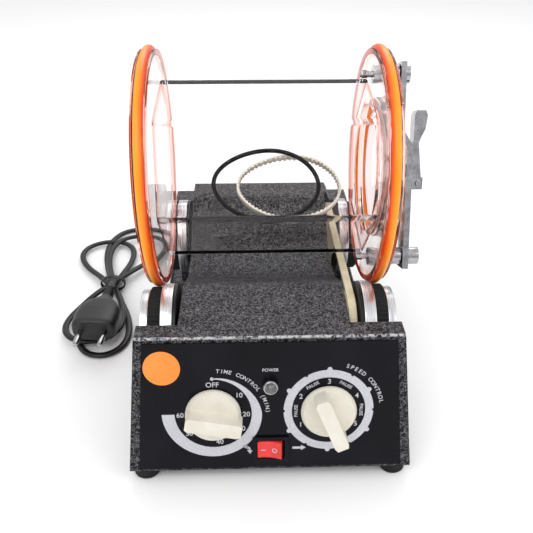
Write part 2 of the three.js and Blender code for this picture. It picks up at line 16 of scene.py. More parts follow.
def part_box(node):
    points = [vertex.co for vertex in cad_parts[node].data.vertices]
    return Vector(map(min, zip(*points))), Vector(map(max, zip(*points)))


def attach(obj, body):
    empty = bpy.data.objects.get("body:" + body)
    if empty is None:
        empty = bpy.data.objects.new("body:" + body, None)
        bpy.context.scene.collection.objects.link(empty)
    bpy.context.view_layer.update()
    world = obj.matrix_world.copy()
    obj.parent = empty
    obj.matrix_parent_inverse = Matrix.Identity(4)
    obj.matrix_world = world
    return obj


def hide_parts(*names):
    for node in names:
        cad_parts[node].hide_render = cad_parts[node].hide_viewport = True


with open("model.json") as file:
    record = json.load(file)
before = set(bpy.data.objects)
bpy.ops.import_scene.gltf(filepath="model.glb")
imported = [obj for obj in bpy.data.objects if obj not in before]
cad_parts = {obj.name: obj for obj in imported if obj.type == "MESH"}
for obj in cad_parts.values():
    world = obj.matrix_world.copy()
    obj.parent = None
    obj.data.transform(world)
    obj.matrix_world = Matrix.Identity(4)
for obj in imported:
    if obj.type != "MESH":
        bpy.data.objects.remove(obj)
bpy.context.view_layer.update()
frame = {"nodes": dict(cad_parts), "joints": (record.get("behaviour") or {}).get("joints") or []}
MM = 0.001
JOINTS = {joint["name"]: joint for joint in frame["joints"]}


# ---- places from the frame
def box_mm(node):
    """Lowest and highest corner of a node, in millimetres."""
    low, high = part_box(node)
    return np.array(low) / MM, np.array(high) / MM


left_low, left_high = box_mm("left_ring")
right_low, right_high = box_mm("right_ring")
DRUM = (left_low + left_high + right_low + right_high) / 4  # middle of the drum, on its axis
RING_OUTSIDE = (left_high[2] - left_low[2]) / 2
RING_SECTION = (left_high[0] - left_low[0]) / 2
RING_X = (right_low[0] + right_high[0]) / 2 - DRUM[0]


def machine(x, y, z):
    """A point of the machine: X from the drum's middle, Y from its axis, Z from the floor."""
    return np.array([DRUM[0] + x, DRUM[1] + y, z], float)


UP_PANEL = np.array(JOINTS["rocker_press"]["axis"], float)
OUT_PANEL = -np.array(JOINTS["timer_turn"]["axis"], float)
ACROSS = np.array([1.0, 0.0, 0.0])
ROCKER_S = 15.8  # height of the rocker's middle up the panel
PANEL_ZERO = np.array(JOINTS["rocker_press"]["pos_m"], float) / MM - ROCKER_S * UP_PANEL
PANEL_FACE = 1.3  # the panel plate's front surface, out from the housing
INK = 0.1  # thickness of the printing
ROCKER_TILT = 10  # degrees, left end pressed in
LAMP_S = 60.5  # height of the lamp's middle up the panel


def on_panel(x, s, out=PANEL_FACE):
    """X from the middle, s up the slope, out of the housing's front."""
    along, up = np.multiply.outer(x, ACROSS), np.multiply.outer(s, UP_PANEL)
    return PANEL_ZERO + along + up + np.multiply.outer(out, OUT_PANEL)


def joint_on_panel(name):
    """Where a knob's axis meets the panel, as (x, s)."""
    place = np.array(JOINTS[name]["pos_m"], float) / MM - PANEL_ZERO
    return float(place @ ACROSS), float(place @ UP_PANEL)


FRONT_FOLD = (-109.3, 97.7)  # Y and Z of the fold where the sloping front meets the deck
FOLD_HIGHLIGHT_WIDTH = 1.5  # how far from that fold a painted highlight reaches
TIMER = joint_on_panel("timer_turn")
SPEED = joint_on_panel("speed_turn")


# ---- colours and nodes
def linear(hex_colour):
    """sRGB hex to linear RGBA."""
    parts = [int(hex_colour[i : i + 2], 16) / 255 for i in (1, 3, 5)]
    return tuple(c / 12.92 if c <= 0.04045 else ((c + 0.055) / 1.055) ** 2.4 for c in parts) + (1.0,)


def add(tree, kind, settings=None, **links):
    """Adds a node, sets its properties and input values, and links the outputs given by input name."""
    node = tree.nodes.new(kind)
    for key, value in (settings or {}).items():
        if isinstance(key, str) and hasattr(node, key):
            setattr(node, key, value)
        else:
            node.inputs[key].default_value = value
    for key, output in links.items():
        name = int(key[1:]) if key[1:].isdigit() else key.replace("_", " ")
        tree.links.new(output, node.inputs[name])
    return node


def new_material(name, **values):
    """A material with one Principled BSDF; values are its sockets' numbers and colours."""
    material = bpy.data.materials.new(name)
    material.use_nodes = True
    tree = material.node_tree
    shader = tree.nodes["Principled BSDF"]
    for key, value in values.items():
        shader.inputs[key.replace("_", " ")].default_value = value
    return material, tree, shader


def ramp(tree, factor, stops):
    """A colour ramp through (position, hex colour) stops."""
    node = add(tree, "ShaderNodeValToRGB", Fac=factor)
    elements = node.color_ramp.elements
    while len(elements) < len(stops):
        elements.new(0.5)
    for element, (position, colour) in zip(elements, stops):
        element.position = position
        element.color = linear(colour)
    return node.outputs["Color"]


def object_noise(tree, grain_mm, detail=2.0, roughness=0.5, distortion=0.0, stretch=(1, 1, 1)):
    """Noise whose grain is the given size, on Object coordinates; stretch squeezes it along an axis."""
    place = add(tree, "ShaderNodeTexCoord").outputs["Object"]
    mapping = add(tree, "ShaderNodeMapping", {"Scale": stretch}, Vector=place)
    scale = 1 / (grain_mm * MM)
    noise = add(
        tree, "ShaderNodeTexNoise",
        {"Scale": scale, "Detail": detail, "Roughness": roughness, "Distortion": distortion},
        Vector=mapping.outputs["Vector"],
    )
    return noise.outputs["Fac"]


def bump(tree, shader, height, depth_mm):
    """Height in 0 to 1 raised by depth_mm as a bump on the shader's normal."""
    node = add(tree, "ShaderNodeBump", {"Strength": 1.0, "Distance": depth_mm * MM}, Height=height)
    tree.links.new(node.outputs["Normal"], shader.inputs["Normal"])


def roughen(tree, shader, cloud, low, high, span=1.0):
    """Roughness that runs from low to high while the cloud runs from 0 to span."""
    rough = add(tree, "ShaderNodeMapRange", {"From Max": span, "To Min": low, "To Max": high}, Value=cloud)
    tree.links.new(rough.outputs["Result"], shader.inputs["Roughness"])


def math_node(tree, operation, first, second=0.5):
    """One arithmetic step on an output."""
    node = add(tree, "ShaderNodeMath", {"operation": operation, 1: second}, _0=first)
    return node.outputs["Value"]


# ---- materials
def hammered_paint():
    """Hammer-finish enamel: silver-grey worms of flake in a near-black film, with a painted highlight along
    one fold.
    """
    material, tree, shader = new_material("hammered_paint", Metallic=0.1, Specular_IOR_Level=0.22)
    worms = object_noise(tree, 2.2, detail=1.6, roughness=0.55, distortion=0.8)
    ridge = math_node(tree, "ABSOLUTE", math_node(tree, "SUBTRACT", worms, 0.5))
    film = ramp(tree, ridge, [(0.0, "#7D7B80"), (0.018, "#66656A"), (0.05, "#1C1B1E"), (0.13, "#0D0D0F")])
    # distance in the Y-Z plane from the fold where the sloping front meets the deck, for a painted highlight
    # along it
    place = add(tree, "ShaderNodeSeparateXYZ", Vector=add(tree, "ShaderNodeTexCoord").outputs["Object"])
    fold = machine(0, *FRONT_FOLD) * MM
    along_y = math_node(tree, "POWER", math_node(tree, "SUBTRACT", place.outputs["Y"], fold[1]), 2)
    along_z = math_node(tree, "POWER", math_node(tree, "SUBTRACT", place.outputs["Z"], fold[2]), 2)
    squared = add(tree, "ShaderNodeMath", {"operation": "ADD"}, _0=along_y, _1=along_z).outputs["Value"]
    near = add(tree, "ShaderNodeMapRange", {"From Max": (FOLD_HIGHLIGHT_WIDTH * MM) ** 2, "To Min": 1.0, "To Max": 0.0},
               Value=squared)
    patchy = add(tree, "ShaderNodeMapRange", {"From Min": 0.4, "From Max": 0.56},
                 Value=object_noise(tree, 1.7, detail=2.0))
    fold_highlight = add(tree, "ShaderNodeMath", {"operation": "MULTIPLY"}, _0=near.outputs["Result"],
               _1=patchy.outputs["Result"])
    # painted highlight: light grey mixed over the film along the fold, broken into patches by noise
    colour = add(tree, "ShaderNodeMix", {"data_type": "RGBA", "B": linear("#C9C7CA")},
                 Factor=fold_highlight.outputs["Value"], A=film)
    tree.links.new(colour.outputs[2], shader.inputs["Base Color"])
    roughen(tree, shader, ridge, 0.38, 0.5, 0.12)
    bump(tree, shader, ridge, 0.35)
    return material


def glossy_panel():
    """Lacquered blue-black label plate: a smooth film with the faintest orange peel."""
    material, tree, shader = new_material("glossy_panel", Roughness=0.2, Specular_IOR_Level=0.14)
    cloud = object_noise(tree, 40, detail=2.0)
    colour = ramp(tree, cloud, [(0.3, "#08080E"), (0.75, "#10101A")])
    tree.links.new(colour, shader.inputs["Base Color"])
    bump(tree, shader, object_noise(tree, 3.0), 0.02)
    return material


def silver_print():
    """Silver screen-printing ink: satin light grey with a fine mottle."""
    material, tree, shader = new_material("silver_print", Metallic=0.3, Roughness=0.42)
    grain = object_noise(tree, 0.8, detail=3.0)
    tree.links.new(ramp(tree, grain, [(0.3, "#B9B9C1"), (0.7, "#D2D2D8")]), shader.inputs["Base Color"])
    return material


def moulded(name, dark, light, roughness, grain_mm=0.6, relief_mm=0.03, **more):
    """Injection-moulded plastic: even colour with a soft mottle and a fine moulded grain."""
    material, tree, shader = new_material(name, Roughness=roughness, IOR=1.5, **more)
    cloud = object_noise(tree, 14, detail=3.0)
    tree.links.new(ramp(tree, cloud, [(0.3, dark), (0.72, light)]), shader.inputs["Base Color"])
    bump(tree, shader, object_noise(tree, grain_mm, detail=1.0), relief_mm)
    return material


def black_rubber():
    """Moulded rubber: matte black with a dusty bloom in patches and a coarse grain."""
    material, tree, shader = new_material("black_rubber", IOR=1.52, Specular_IOR_Level=0.3)
    cloud = object_noise(tree, 9, detail=4.0, roughness=0.6)
    tree.links.new(ramp(tree, cloud, [(0.35, "#0E0E0F"), (0.7, "#1C1C1E")]), shader.inputs["Base Color"])
    roughen(tree, shader, cloud, 0.62, 0.85)
    bump(tree, shader, object_noise(tree, 0.7, detail=2.0), 0.05)
    return material


def orange_rubber():
    """Silicone ring: translucent yellow-orange with a satin skin, and painted shade that turns it red-orange
    towards its inner side.
    """
    material, tree, shader = new_material(
        "orange_rubber", Roughness=0.3, IOR=1.41, Subsurface_Weight=0.2, Subsurface_Scale=0.003,
        Subsurface_Radius=(1.0, 0.35, 0.1),
    )
    place = add(tree, "ShaderNodeSeparateXYZ", Vector=add(tree, "ShaderNodeTexCoord").outputs["Object"])
    across = math_node(tree, "ABSOLUTE", math_node(tree, "SUBTRACT", place.outputs["X"], DRUM[0] * MM))
    inner, outer = (RING_X - RING_SECTION) * MM, (RING_X + RING_SECTION) * MM
    # painted shade: colour runs from red-orange on the ring's inner side, towards the drum's middle, to
    # yellow-orange on its outer side
    side = add(tree, "ShaderNodeMapRange", {"From Min": inner, "From Max": outer}, Value=across)
    cloud = add(tree, "ShaderNodeMapRange", {"To Min": -0.12, "To Max": 0.12},
                Value=object_noise(tree, 25, detail=2.0))
    shade = add(tree, "ShaderNodeMath", {"operation": "ADD"},
                _0=side.outputs["Result"], _1=cloud.outputs["Result"])
    colour = ramp(tree, shade.outputs["Value"],
                  [(0.02, "#F2481A"), (0.2, "#FB6E14"), (0.42, "#FF9016"), (0.8, "#FFA428")])
    tree.links.new(colour, shader.inputs["Base Color"])
    bump(tree, shader, object_noise(tree, 1.2), 0.03)
    return material


def clear_acrylic(name, painted_ring_glow, edge_from, edge_to, along_x=False):
    """Cast acrylic: clear and polished, with light handling haze.

    Its cut edges gather the rings' orange light; that glow is painted in as a pink tint that deepens between
    two distances from the drum's axis, or from its middle along X. The IOR is below acrylic's own 1.49, which
    turns thick edges black."""
    material, tree, shader = new_material(name, IOR=1.12, Transmission_Weight=1.0)
    place = add(tree, "ShaderNodeMapping", {"Location": tuple(-DRUM * MM)},
                Vector=add(tree, "ShaderNodeTexCoord").outputs["Object"])
    if along_x:
        across = add(tree, "ShaderNodeSeparateXYZ", Vector=place.outputs["Vector"]).outputs["X"]
        reach = math_node(tree, "ABSOLUTE", across)
    else:
        place = add(tree, "ShaderNodeVectorMath", {"operation": "MULTIPLY", 1: (0, 1, 1)},
                    _0=place.outputs["Vector"])
        reach = add(tree, "ShaderNodeVectorMath", {"operation": "LENGTH"}, _0=place.outputs["Vector"])
        reach = reach.outputs["Value"]
    edge = add(tree, "ShaderNodeMapRange", {"From Min": edge_from * MM, "From Max": edge_to * MM},
               Value=reach)
    # painted glow: the rings' orange light painted as a pink tint that grows towards the edges
    colour = ramp(tree, edge.outputs["Result"], [(0.0, "#FFFDFD"), (1.0, painted_ring_glow)])
    tree.links.new(colour, shader.inputs["Base Color"])
    roughen(tree, shader, object_noise(tree, 30, detail=4.0, roughness=0.6), 0.0, 0.05)
    return material


def machined(name, dark, light, roughness):
    """Metal turned about X on a lathe: fine rings across the axis show in its sheen."""
    material, tree, shader = new_material(name, Metallic=1.0)
    rings = object_noise(tree, 0.35, detail=1.0, stretch=(1.0, 0.02, 0.02))
    tree.links.new(ramp(tree, rings, [(0.3, dark), (0.7, light)]), shader.inputs["Base Color"])
    roughen(tree, shader, rings, roughness * 0.8, roughness * 1.25)
    bump(tree, shader, rings, 0.02)
    return material


def chrome_plate():
    """Bright nickel-chrome plating: mirror-like, with slight waviness and handling marks."""
    material, tree, shader = new_material("chrome_plate", Metallic=1.0)
    cloud = object_noise(tree, 6, detail=4.0, roughness=0.65)
    tree.links.new(ramp(tree, cloud, [(0.3, "#8F8F93"), (0.7, "#C4C4C7")]), shader.inputs["Base Color"])
    roughen(tree, shader, cloud, 0.06, 0.17)
    bump(tree, shader, object_noise(tree, 5, detail=1.0), 0.03)
    return material


M = {
    "hammered": hammered_paint(),
    "panel": glossy_panel(),
    "print": silver_print(),
    "cream": moulded("cream_abs", "#D8D2C4", "#E6E1D5", 0.42),
    "black_abs": moulded("black_abs", "#131314", "#1F1F21", 0.42),
    "gloss_black": moulded("gloss_black_abs", "#0C0C0E", "#151518", 0.3, Specular_IOR_Level=0.3),
    "red": moulded("red_polycarbonate", "#D92A28", "#EA3A35", 0.22, Subsurface_Weight=0.15,
                   Subsurface_Scale=0.002),
    "lens": moulded("smoked_clear_lens", "#9DA09F", "#C3C6C4", 0.08, Transmission_Weight=0.75),
    "sticker": moulded("orange_sticker", "#FF8A2E", "#FF963E", 0.5),
    "rubber": black_rubber(),
    "cord": moulded("black_pvc", "#0C0C0D", "#161618", 0.36, grain_mm=1.2, Specular_IOR_Level=0.4),
    "orange": orange_rubber(),
    # the pink edge tints below are painted glow of the rings' orange light
    "acrylic": clear_acrylic("clear_acrylic", "#FFD2CA", 64.5, 66.5, along_x=True),
    "acrylic_plate": clear_acrylic("clear_acrylic_plate", "#FFC9BE", 66, 74),
    "acrylic_lid": clear_acrylic("clear_acrylic_lid", "#FFE2DC", 36, 46),
    "seal": moulded("pink_silicone", "#FBC3B7", "#FFD6CC", 0.35, Transmission_Weight=0.7),
    "aluminium": machined("turned_aluminium", "#C2C3C6", "#DCDDDF", 0.26),
    "steel": machined("ground_steel", "#9A9B9E", "#B9BABD", 0.3),
    "zinc": moulded("zinc_plate", "#A6A8AB", "#C0C2C4", 0.42, Metallic=0.9),
    "chrome": chrome_plate(),
    "link": moulded("link_belt_urethane", "#CFC29F", "#E6DCC0", 0.6, grain_mm=0.9, relief_mm=0.1),
    "white_belt": moulded("white_urethane", "#ECE8D8", "#F8F5EA", 0.5),
    "board": moulded("circuit_board", "#1F5230", "#2E6B3E", 0.35),
}


# ---- making pieces
def add_piece(name, mesh, material, body, replaces=(), sharp_deg=38):
    """Puts a finished mesh in the scene, on its body, shaded smooth with its sharp edges kept."""
    mesh.materials.append(M[material])
    mesh.shade_smooth()
    mesh.set_sharp_from_angle(angle=math.radians(sharp_deg))
    piece = bpy.data.objects.new(name, mesh)
    bpy.context.scene.collection.objects.link(piece)
    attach(piece, body)
    if replaces:
        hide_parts(*replaces)
    return piece


def clean_mesh(name, vertices, faces):
    """A mesh in metres from millimetre points, doubles merged and faces turned outwards."""
    mesh = bpy.data.meshes.new(name)
    mesh.from_pydata(np.asarray(vertices, float) * MM, [], faces)
    work = bmesh.new()
    work.from_mesh(mesh)
    bmesh.ops.remove_doubles(work, verts=work.verts, dist=1e-7)
    bmesh.ops.recalc_face_normals(work, faces=work.faces)
    work.to_mesh(mesh)
    work.free()
    return mesh


def loft(name, rings, closed=False):
    """Skins a stack of closed outlines, rings[i, j], with quads; caps its ends unless the stack is closed."""
    rings = np.asarray(rings, float)
    count, around = rings.shape[:2]
    i, j = np.meshgrid(np.arange(count if closed else count - 1), np.arange(around), indexing="ij")
    after, beside = (i + 1) % count, (j + 1) % around
    quads = np.stack([i * around + j, i * around + beside, after * around + beside, after * around + j], -1)
    faces = quads.reshape(-1, 4).tolist()
    if not closed:
        faces += [list(range(around)), list(range((count - 1) * around, count * around))]
    return clean_mesh(name, rings.reshape(-1, 3), faces)


def soften(points, radius, steps=4, closed=True):
    """Rounds each corner of an outline with a parabola that leaves the two sides at most `radius` away."""
    points = np.asarray(points, float)
    out = []
    for k, corner in enumerate(points):
        if not closed and k in (0, len(points) - 1):
            out.append(corner[None])
            continue
        before, after = points[k - 1] - corner, points[(k + 1) % len(points)] - corner
        reach = [min(radius / max(np.linalg.norm(side), 1e-9), 0.45) for side in (before, after)]
        t = np.linspace(0, 1, steps + 1)[:, None]
        start, end = corner + before * reach[0], corner + after * reach[1]
        out.append((1 - t) ** 2 * start + 2 * t * (1 - t) * corner + t**2 * end)
    return np.concatenate(out)


def frame_of(axis):
    """Two directions square to an axis, so that a circle can be drawn round it."""
    axis = np.asarray(axis, float) / np.linalg.norm(axis)
    side = np.cross(axis, [0, 0, 1.0]) if abs(axis[2]) < 0.9 else np.cross(axis, [0, 1.0, 0])
    side /= np.linalg.norm(side)
    return axis, side, np.cross(axis, side)


def turned(name, profile, centre, axis, steps=96, corner=0.0, ripple=None):
    """A solid of revolution: point = centre + a axis + r (cos t side + sin t other), for each (r, a).

    `ripple(r, t)` may change the radius round the turn."""
    profile = soften(profile, corner) if corner else np.asarray(profile, float)
    axis, side, other = frame_of(axis)
    t = np.linspace(0, 2 * np.pi, steps, endpoint=False)[:, None]
    r, a = profile[None, :, 0], profile[None, :, 1]
    if ripple:
        r = ripple(r, t)
    r, a, t = np.broadcast_arrays(r, a, t)
    beside, above = (r * np.cos(t))[..., None] * side, (r * np.sin(t))[..., None] * other
    points = centre + a[..., None] * axis + beside + above
    return loft(name, points, closed=True)


def refined(node, name, material, body, bevel_mm, segments):
    """A copy of a CAD node, triangles merged and edges rounded by a bevel, in place of the node."""
    mesh = frame["nodes"][node].data.copy()
    mesh.materials.clear()
    work = bmesh.new()
    work.from_mesh(mesh)
    bmesh.ops.remove_doubles(work, verts=work.verts, dist=2e-6)
    bmesh.ops.dissolve_limit(work, angle_limit=math.radians(0.5), verts=work.verts, edges=work.edges)
    work.to_mesh(mesh)
    work.free()
    piece = add_piece(name, mesh, material, body, [node])
    rounding = piece.modifiers.new("edge_rounding", "BEVEL")
    rounding.width = bevel_mm * MM
    rounding.segments = segments
    rounding.limit_method = "ANGLE"
    rounding.angle_limit = math.radians(28)
    rounding.harden_normals = True


# ---- camera, light and floor
CAMERA = {"place": (-11.9, -410.7, 322.3), "yaw": 1.92, "down": 34.16, "roll": -0.17, "lens": 43.45}


def stage():
    """A pale floor, soft light from above on three sides, and the camera."""
    bpy.ops.mesh.primitive_plane_add(size=20, location=(0, 0, -0.0003))
    floor = bpy.context.object
    floor.name = "floor"
    floor.data.materials.append(new_material("pale_floor", Roughness=0.6, Base_Color=linear("#FAFAFA"))[0])

    world = bpy.data.worlds.new("studio")
    bpy.context.scene.world = world
    world.use_nodes = True
    # a white tent: full brightness above, a little dimmer towards the horizon
    tree = world.node_tree
    height = add(tree, "ShaderNodeSeparateXYZ", Vector=add(tree, "ShaderNodeTexCoord").outputs["Generated"])
    tent = ramp(tree, height.outputs["Z"], [(0.0, "#BDBDBF"), (0.2, "#D4D4D6"), (0.5, "#FFFFFF")])
    tree.links.new(tent, tree.nodes["Background"].inputs["Color"])
    tree.nodes["Background"].inputs["Strength"].default_value = 0.95

    for name, place, size, power in (
        ("key_light", (-0.5, -0.9, 1.3), 0.9, 7),
        ("fill_light", (0.9, -0.6, 0.9), 0.8, 3),
        ("back_light", (0.1, 1.1, 1.1), 0.9, 4),
    ):
        light = bpy.data.lights.new(name, "AREA")
        light.size, light.energy = size, power
        lamp = bpy.data.objects.new(name, light)
        lamp.location = place
        lamp.rotation_euler = (Vector((0, 0, 0.1)) - Vector(place)).to_track_quat("-Z", "Y").to_euler()
        bpy.context.scene.collection.objects.link(lamp)

    yaw, down, roll = (math.radians(CAMERA[k]) for k in ("yaw", "down", "roll"))
    forward = Vector((math.sin(yaw) * math.cos(down), math.cos(yaw) * math.cos(down), -math.sin(down)))
    level = Vector((math.cos(yaw), -math.sin(yaw), 0))
    over = level.cross(forward)
    right = math.cos(roll) * level - math.sin(roll) * over
    up = math.sin(roll) * level + math.cos(roll) * over
    view = bpy.data.cameras.new("camera")
    view.lens, view.sensor_width = CAMERA["lens"], 36
    view.shift_x, view.shift_y = -0.0013, 0.079
    camera = bpy.data.objects.new("camera", view)
    bpy.context.scene.collection.objects.link(camera)
    turn = Matrix((right, up, -forward)).transposed().to_4x4()
    camera.matrix_world = Matrix.Translation(Vector(machine(*CAMERA["place"]) * MM)) @ turn
    bpy.context.scene.camera = camera
    bpy.context.scene.view_settings.view_transform = "Standard"


# ---- mains lead
LEAD_WIDTH = 5.6
LEAD_THICKNESS = 3.8
LEAD_REST = 2.2  # height of its middle where it lies on the floor
GLAND = (-60, 118, 30)
TIE = (-137, 98, 8.0)
TIE_WIDE, TIE_HIGH = 10.5, 7.0  # half-sizes of the strap's oval
# The free stretch, from the gland to the tie: back, down to the floor, round to the left and forwards.
FREE_STRETCH = [
    (-60, 133, 30), (-60.4, 141, 28.5), (-62, 150, 21.5), (-66, 161, 10.5), (-72, 172, 4), (-81, 186, 2.2),
    (-96, 202, 2.2), (-113, 214, 2.2), (-130, 217, 2.2), (-144, 210, 2.2), (-152, 196, 2.2),
    (-155, 178, 2.2), (-154, 160, 2.2), (-150, 140, 2.2), (-144, 119, 2.2),
]
# Each loop of the hank: direction (1 back, -1 forward), lean in degrees, half-width, length, lift.
LOOPS = [(-1, 3, 20, 100, 0), (1, 14, 25, 90, 3.9), (-1, -6, 23, 86, 7.8), (1, -9, 23, 97, 7.8)]
PLUG_NECK = np.array([-133.2, 69.5, 20])
PLUG_HEADING = math.radians(3)


def smooth_path(points, spacing=2.0):
    """A centripetal Catmull-Rom curve through the points, resampled at an even spacing."""
    points = np.asarray(points, float)
    points = np.vstack([2 * points[0] - points[1], points, 2 * points[-1] - points[-2]])
    pieces = []
    for k in range(1, len(points) - 2):
        p0, p1, p2, p3 = points[k - 1 : k + 3]
        knots = np.cumsum([0] + [np.sqrt(np.linalg.norm(b - a)) for a, b in ((p0, p1), (p1, p2), (p2, p3))])
        t = np.linspace(knots[1], knots[2], 24, endpoint=False)[:, None]
        def mix(a, b, low, high):
            return (high - t) / (high - low) * a + (t - low) / (high - low) * b
        a1, a2 = mix(p0, p1, knots[0], knots[1]), mix(p1, p2, knots[1], knots[2])
        a3 = mix(p2, p3, knots[2], knots[3])
        b1, b2 = mix(a1, a2, knots[0], knots[2]), mix(a2, a3, knots[1], knots[3])
        pieces.append(mix(b1, b2, knots[1], knots[2]))
    dense = np.vstack(pieces + [points[-2][None]])
    run = np.concatenate([[0], np.cumsum(np.linalg.norm(np.diff(dense, axis=0), axis=1))])
    even = np.linspace(0, run[-1], int(run[-1] / spacing) + 1)
    return np.stack([np.interp(even, run, dense[:, k]) for k in range(3)], -1)


def hank_points():
    """Loops of a figure of eight through the tie: y = length cos t, x = half-width sin 2t, leaned, lifted."""
    points = []
    for side, lean, half, length, lift in LOOPS:
        t = np.linspace(-np.pi / 2, np.pi / 2, 15)[1:-1]
        x = -half * np.sin(2 * t)
        y = side * length * np.cos(t)
        lean = math.radians(lean)
        # the strands lie on each other at the tie and settle to less than half that height further out
        near_tie = np.exp(-((y / 26) ** 2))
        points.append(np.stack([
            TIE[0] + x * math.cos(lean) - y * math.sin(lean),
            TIE[1] + x * math.sin(lean) + y * math.cos(lean),
            LEAD_REST + (lift * near_tie + lift * 0.45 * (1 - near_tie)),
        ], -1))
    return np.vstack(points)


def mains_lead():
    """The flat two-core lead, its tie, its gland and the moulded plug."""
    tail = [(-135.4, 92, 13), (-134.2, 82, 17), PLUG_NECK]
    route = np.vstack([FREE_STRETCH, hank_points(), tail])
    path = smooth_path(route)
    heading = np.gradient(path, axis=0)
    heading /= np.linalg.norm(heading, axis=1)[:, None]
    flat = np.cross([0, 0, 1.0], heading)
    flat /= np.linalg.norm(flat, axis=1)[:, None]
    tall = np.cross(heading, flat)
    a = np.linspace(0, 2 * np.pi, 16, endpoint=False)
    # two round cores side by side: an oval whose waist is drawn in a little
    wide = LEAD_WIDTH / 2 * np.cos(a)
    high = LEAD_THICKNESS / 2 * np.sin(a) * (1 - 0.16 * np.exp(-((wide / 0.8) ** 2)))
    rings = path[:, None] + wide[None, :, None] * flat[:, None] + high[None, :, None] * tall[:, None]
    shift = machine(0, 0, 0)
    lead = add_piece("mains_lead", loft("mains_lead", rings + shift), "cord", "base",
                     ["cord_lead", "cord_bundle"])

    a = np.linspace(0, 2 * np.pi, 48, endpoint=False)
    def strap(scale, y):
        return np.stack([TIE[0] + scale * TIE_WIDE * np.cos(a), np.full_like(a, TIE[1] + y),
                         TIE[2] + scale * TIE_HIGH * np.sin(a)], -1)
    rings = np.stack([strap(1.0, -2.2), strap(1.08, -2.2), strap(1.12, 0), strap(1.08, 2.2),
                      strap(1.0, 2.2), strap(0.97, 0)])
    tie = add_piece("lead_tie", loft("lead_tie", rings + shift, closed=True), "gloss_black", "base")

    pieces = plug_pieces() + [tie]

    relief = turned(
        "gland_relief",
        [(3.2, 4), (6, 4), (9.2, 4.4), (9.5, 1), (9.5, 0.4), (3.2, 0.4)][::-1], machine(*GLAND), (0, 1, 0),
        corner=0.4,
    )
    add_piece("gland_flange", relief, "black_abs", "base")
    sleeve = turned(
        "gland_sleeve", [(3.1, -5.6), (5.9, -5.6), (5.9, 3), (5.6, 6), (4.2, 23), (3.1, 23)],
        machine(*GLAND), (0, 1, 0), corner=0.4,
    )
    add_piece("gland_sleeve", sleeve, "black_abs", "base", ["cord_gland"])


def plug_pieces():
    """A moulded two-pin plug: a ribbed sleeve that widens to a rounded body, and two pins with bare tips."""
    forward = np.array([-math.sin(PLUG_HEADING), -math.cos(PLUG_HEADING), 0])
    side = np.array([math.cos(PLUG_HEADING), -math.sin(PLUG_HEADING), 0])
    up = np.array([0, 0, 1.0])
    start = machine(*PLUG_NECK)
    along = np.concatenate([np.linspace(0, 15, 31), np.linspace(16, 62, 24), [63]])
    half_width = np.interp(along, [0, 15, 20, 28, 38, 50, 60, 62, 63],
                           [3.2, 4.8, 7, 12.5, 18, 18.5, 17.6, 16.8, 15.5])
    half_height = np.interp(along, [0, 15, 20, 30, 42, 60, 62, 63],
                            [2.8, 4.4, 6, 9.5, 10.8, 10.4, 9.8, 8.8])
    rib = np.where(along < 15, 0.45 * np.cos(along * 2 * np.pi / 3.0), 0)
    square = np.interp(along, [15, 34], [2.0, 3.2])  # 2 is an oval, more is squarer
    a = np.linspace(0, 2 * np.pi, 48, endpoint=False)[None]
    power = 2 / square[:, None]
    x = (half_width + rib)[:, None] * np.sign(np.cos(a)) * np.abs(np.cos(a)) ** power
    z = (half_height + rib)[:, None] * np.sign(np.sin(a)) * np.abs(np.sin(a)) ** power
    rings = start + along[:, None, None] * forward + x[..., None] * side + z[..., None] * up
    body = add_piece("plug_body", loft("plug_body", rings), "black_abs", "base", ["plug"])
    pins = []
    for number, offset in enumerate((-9.5, 9.5)):
        foot = start + 62 * forward + offset * side
        pin = turned(
            f"plug_pin_{number}",
            [(0, 0), (2.0, 0), (2.0, 10), (2.4, 10), (2.4, 18), (1.9, 19.4), (0.9, 20), (0, 20)],
            foot, forward, steps=24,
        )
        pins.append(add_piece(f"plug_pin_{number}", pin, "chrome", "base"))
    return [body, *pins]


# ---- housing
def housing():
    """The folded cover and the pan under it, edges rounded as folds are, and the four feet."""
    refined("housing_shell", "housing_cover", "hammered", "base", 1.3, 4)
    refined("base_plate", "base_pan", "hammered", "base", 0.5, 2)
    for corner in ("front_left", "front_right", "rear_left", "rear_right"):
        low, high = box_mm("foot_" + corner)
        middle = [*((low + high)[:2] / 2), low[2]]
        radius, height = (high[0] - low[0]) / 2, high[2] - low[2]
        # a tapered bumper with a bead round its foot and a dished sole
        profile = [(0, 0.7), (radius - 3, 0.7), (radius - 2.4, 0), (radius - 0.9, 0), (radius, 1.4),
                   (radius - 0.5, 2.6), (radius - 0.2, height - 1.5), (radius - 1, height), (0, height)]
        foot = turned("foot_" + corner + "_bumper", profile, middle, (0, 0, 1), 64, 0.5)
        add_piece("foot_" + corner + "_bumper", foot, "rubber", "base", ["foot_" + corner])


# ---- rollers and belts
RIBS = 56
RIB_DEPTH = 0.6
TREAD_FROM = 27  # radius past which the tyre is tread


def tyre_ribs(r, t):
    """Narrow cross ribs: the tread is cut down between them by clipping a sine, and its walls are plain."""
    wave = np.clip(np.sin(RIBS * t) * 3, -1, 1)
    return r - np.where(r > TREAD_FROM, RIB_DEPTH / 2 * (1 - wave), 0)


